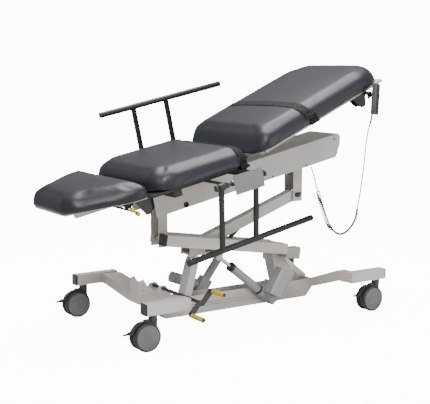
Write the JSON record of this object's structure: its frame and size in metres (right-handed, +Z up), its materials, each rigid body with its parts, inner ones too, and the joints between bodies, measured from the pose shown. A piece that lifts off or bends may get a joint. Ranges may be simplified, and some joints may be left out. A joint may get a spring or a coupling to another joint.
{
  "type": "examination couch",
  "caption": "Powered examination couch with a tapered foot section, seat, raised backrest and fold-down side rails on a lifting base with twin-wheel casters.",
  "frame": {"origin": "on the floor under the middle of the whole couch's outline", "axes": "+X towards the head end, +Y to the side away from the brake pedal, +Z up from the floor"},
  "size_m": [1.6883, 0.877, 1.2217],
  "materials": {
    "frame_paint": "warm light grey powder coat",
    "actuator_paint": "light grey satin",
    "black_plastic": "fine moulded texture",
    "bright_steel": "ground and plated",
    "dark_steel": "dark grey satin",
    "yellow_grip": "soft dipped sleeve",
    "rail_paint": "black powder coat",
    "galvanised": "zinc plated sheet",
    "upholstery": "slate grey leatherette with fine grain",
    "black_board": "painted board",
    "silver_paint": "silver grey",
    "beige_plastic": "moulded",
    "handset_plastic": "moulded",
    "key_rubber": "matt",
    "cord_rubber": "matt coiled cord",
    "caster_plastic": "moulded",
    "caster_tyre": "soft polyurethane tread"
  },
  "bodies": {
    "base": {"base_spine": "frame_paint", "foot_crossbar": "frame_paint", "head_crossbar": "frame_paint", "stub_tubes": "frame_paint", "stub_caps": "black_plastic", "base_pins": "bright_steel"},
    "pedal": {"pedal_rocker": "dark_steel", "pedal_grips": "yellow_grip"},
    "caster_foot_near": {"caster_foot_near_housing": "caster_plastic"},
    "wheels_foot_near": {"caster_foot_near_wheels": "caster_tyre"},
    "brake_foot_near": {"caster_foot_near_brake": "black_plastic"},
    "caster_foot_far": {"caster_foot_far_housing": "caster_plastic"},
    "wheels_foot_far": {"caster_foot_far_wheels": "caster_tyre"},
    "brake_foot_far": {"caster_foot_far_brake": "black_plastic"},
    "caster_head_near": {"caster_head_near_housing": "caster_plastic"},
    "wheels_head_near": {"caster_head_near_wheels": "caster_tyre"},
    "brake_head_near": {"caster_head_near_brake": "black_plastic"},
    "caster_head_far": {"caster_head_far_housing": "caster_plastic"},
    "wheels_head_far": {"caster_head_far_wheels": "caster_tyre"},
    "brake_head_far": {"caster_head_far_brake": "black_plastic"},
    "head_leg": {"head_leg": "frame_paint"},
    "head_shoe": {"head_leg_roller": "bright_steel"},
    "foot_leg": {"foot_leg": "frame_paint", "foot_leg_roller": "bright_steel"},
    "near_motor": {"near_actuator": "actuator_paint"},
    "near_rod": {"near_actuator_rod": "bright_steel"},
    "far_motor": {"far_actuator": "actuator_paint"},
    "far_rod": {"far_actuator_rod": "bright_steel"},
    "middle": {"middle_tubes": "frame_paint", "middle_tube_cap": "black_plastic", "leg_track": "frame_paint", "middle_pins": "bright_steel", "control_box": "beige_plastic"},
    "prop": {"prop_arm": "frame_paint", "prop_knob": "black_plastic"},
    "strut": {"tilt_strut": "dark_steel"},
    "strut_rod": {"tilt_strut_rod": "bright_steel"},
    "table": {"frame_box": "frame_paint", "frame_fittings": "black_plastic", "frame_posts": "frame_paint", "seat_deck": "black_board", "seat_pad": "upholstery", "foot_bracket": "dark_steel", "back_ram": "dark_steel", "rail_mounts": "dark_steel", "handset_cord": "cord_rubber"},
    "ram_rod": {"back_ram_rod": "bright_steel"},
    "back": {"back_frame": "silver_paint", "back_pad": "upholstery", "head_brackets": "black_plastic"},
    "foot": {"foot_frame": "silver_paint", "foot_pad": "upholstery"},
    "release": {"release_lever": "dark_steel", "release_grip": "yellow_grip"},
    "near_rail": {"near_rail": "rail_paint", "near_rail_plate": "galvanised"},
    "far_rail": {"far_rail": "rail_paint", "far_rail_plate": "galvanised"},
    "handset": {"handset_case": "handset_plastic"},
    "keys": {"handset_keys": "key_rubber"}
  },
  "joints": [
    {"name": "pedal_rock", "type": "hinge", "parent": "base", "child": "pedal", "pos_m": [-0.28019, 0.0415, 0.18], "axis": [0, -1, 0], "range_deg": [-18, 18]},
    {"name": "swivel_foot_near", "type": "hinge", "parent": "base", "child": "caster_foot_near", "pos_m": [-0.50319, -0.3015, 0.15], "axis": [0, 0, 1], "continuous": true},
    {"name": "roll_foot_near", "type": "hinge", "parent": "caster_foot_near", "child": "wheels_foot_near", "pos_m": [-0.54119, -0.3015, 0.0625], "axis": [0, 1, 0], "continuous": true},
    {"name": "brake_lever_foot_near", "type": "hinge", "parent": "caster_foot_near", "child": "brake_foot_near", "pos_m": [-0.61519, -0.3015, 0.0845], "axis": [0, 1, 0], "range_deg": [-22, 4]},
    {"name": "swivel_foot_far", "type": "hinge", "parent": "base", "child": "caster_foot_far", "pos_m": [-0.50319, 0.3845, 0.15], "axis": [0, 0, 1], "continuous": true},
    {"name": "roll_foot_far", "type": "hinge", "parent": "caster_foot_far", "child": "wheels_foot_far", "pos_m": [-0.54119, 0.3845, 0.0625], "axis": [0, 1, 0], "continuous": true},
    {"name": "brake_lever_foot_far", "type": "hinge", "parent": "caster_foot_far", "child": "brake_foot_far", "pos_m": [-0.61519, 0.3845, 0.0845], "axis": [0, 1, 0], "range_deg": [-22, 4]},
    {"name": "swivel_head_near", "type": "hinge", "parent": "base", "child": "caster_head_near", "pos_m": [0.76281, -0.3015, 0.15], "axis": [0, 0, 1], "continuous": true},
    {"name": "roll_head_near", "type": "hinge", "parent": "caster_head_near", "child": "wheels_head_near", "pos_m": [0.72481, -0.3015, 0.0625], "axis": [0, 1, 0], "continuous": true},
    {"name": "brake_lever_head_near", "type": "hinge", "parent": "caster_head_near", "child": "brake_head_near", "pos_m": [0.65081, -0.3015, 0.0845], "axis": [0, 1, 0], "range_deg": [-22, 4]},
    {"name": "swivel_head_far", "type": "hinge", "parent": "base", "child": "caster_head_far", "pos_m": [0.76281, 0.3845, 0.15], "axis": [0, 0, 1], "continuous": true},
    {"name": "roll_head_far", "type": "hinge", "parent": "caster_head_far", "child": "wheels_head_far", "pos_m": [0.72481, 0.3845, 0.0625], "axis": [0, 1, 0], "continuous": true},
    {"name": "brake_lever_head_far", "type": "hinge", "parent": "caster_head_far", "child": "brake_head_far", "pos_m": [0.65081, 0.3845, 0.0845], "axis": [0, 1, 0], "range_deg": [-22, 4]},
    {"name": "lift", "type": "hinge", "parent": "base", "child": "head_leg", "pos_m": [0.41681, 0.0415, 0.075], "axis": [0, -1, 0], "range_deg": [-6, 38]},
    {"name": "foot_leg_swing", "type": "hinge", "parent": "base", "child": "foot_leg", "pos_m": [-0.14819, 0.0415, 0.075], "axis": [0, 1, 0], "range_deg": [-6, 38]},
    {"name": "shoe_level", "type": "hinge", "parent": "head_leg", "child": "head_shoe", "pos_m": [0.35797, 0.0415, 0.30251], "axis": [0, 1, 0], "range_deg": [-6, 38]},
    {"name": "track_slide", "type": "slide", "parent": "head_shoe", "child": "middle", "axis": [1, 0, 0], "range_m": [-0.02015, 0.12762]},
    {"name": "near_motor_pivot", "type": "hinge", "parent": "base", "child": "near_motor", "pos_m": [0.31781, -0.0305, 0.052], "axis": [0, -1, 0], "range_deg": [-1.53, 9.69]},
    {"name": "near_rod_slide", "type": "slide", "parent": "near_motor", "child": "near_rod", "axis": [-0.7765, 0, 0.6301], "range_m": [-0.04112, 0.00649]},
    {"name": "far_motor_pivot", "type": "hinge", "parent": "base", "child": "far_motor", "pos_m": [-0.02219, 0.1255, 0.086], "axis": [0, -1, 0], "range_deg": [-9.31, 1.47]},
    {"name": "far_rod_slide", "type": "slide", "parent": "far_motor", "child": "far_rod", "axis": [0.6111, 0, 0.7916], "range_m": [-0.0597, 0.00943]},
    {"name": "table_tilt", "type": "hinge", "parent": "middle", "child": "table", "pos_m": [-0.27319, 0.0415, 0.41], "axis": [0, -1, 0], "range_deg": [-12, 2]},
    {"name": "prop_swing", "type": "hinge", "parent": "middle", "child": "prop", "pos_m": [-0.03019, 0.0415, 0.372], "axis": [0, -1, 0], "range_deg": [-17.01, 2.83]},
    {"name": "strut_swing", "type": "hinge", "parent": "middle", "child": "strut", "pos_m": [0.08981, 0.0415, 0.346], "axis": [0, -1, 0], "range_deg": [-25.56, 4.26]},
    {"name": "strut_slide", "type": "slide", "parent": "strut", "child": "strut_rod", "axis": [0.7769, 0, 0.6296], "range_m": [-0.02346, 0.00391]},
    {"name": "backrest", "type": "hinge", "parent": "table", "child": "back", "pos_m": [0.11018, 0.0415, 0.80079], "axis": [0, -1, 0], "range_deg": [-12.5, 43]},
    {"name": "ram_slide", "type": "slide", "parent": "table", "child": "ram_rod", "axis": [0.9781, 0, 0.2079], "range_m": [-0.02071, 0.07123]},
    {"name": "foot_section", "type": "hinge", "parent": "table", "child": "foot", "pos_m": [-0.47767, 0.0415, 0.6421], "axis": [0, -1, 0], "range_deg": [0, 70]},
    {"name": "release_lift", "type": "hinge", "parent": "foot", "child": "release", "pos_m": [-0.57174, -0.1225, 0.6037], "axis": [-0.9781, 0, -0.2079], "range_deg": [0, 8]},
    {"name": "near_rail_fold", "type": "hinge", "parent": "table", "child": "near_rail", "pos_m": [-0.04209, -0.3385, 0.70913], "axis": [-0.9781, 0, -0.2079], "range_deg": [0, 195.4]},
    {"name": "far_rail_fold", "type": "hinge", "parent": "table", "child": "far_rail", "pos_m": [-0.04209, 0.4215, 0.70913], "axis": [0.9781, 0, 0.2079], "range_deg": [-195.4, 0]},
    {"name": "handset_lift", "type": "slide", "parent": "back", "child": "handset", "axis": [0.1205, 0.0696, 0.9903], "range_m": [0, 0.06]},
    {"name": "key_press", "type": "slide", "parent": "handset", "child": "keys", "axis": [-0.5, 0.866, 0], "range_m": [0, 0.001]}
  ],
  "couplings": [
    {"joint": "foot_leg_swing", "follows": "lift", "ratio": 1},
    {"joint": "shoe_level", "follows": "lift", "ratio": 1},
    {"joint": "track_slide", "follows": "lift", "m_per_rad": 0.1924},
    {"joint": "near_motor_pivot", "follows": "lift", "ratio": 0.255},
    {"joint": "near_rod_slide", "follows": "lift", "m_per_rad": -0.062},
    {"joint": "far_motor_pivot", "follows": "lift", "ratio": -0.245},
    {"joint": "far_rod_slide", "follows": "lift", "m_per_rad": -0.09},
    {"joint": "prop_swing", "follows": "table_tilt", "ratio": 1.417},
    {"joint": "strut_swing", "follows": "table_tilt", "ratio": 2.13},
    {"joint": "strut_slide", "follows": "table_tilt", "m_per_rad": 0.112},
    {"joint": "ram_slide", "follows": "backrest", "m_per_rad": 0.0949}
  ]
}
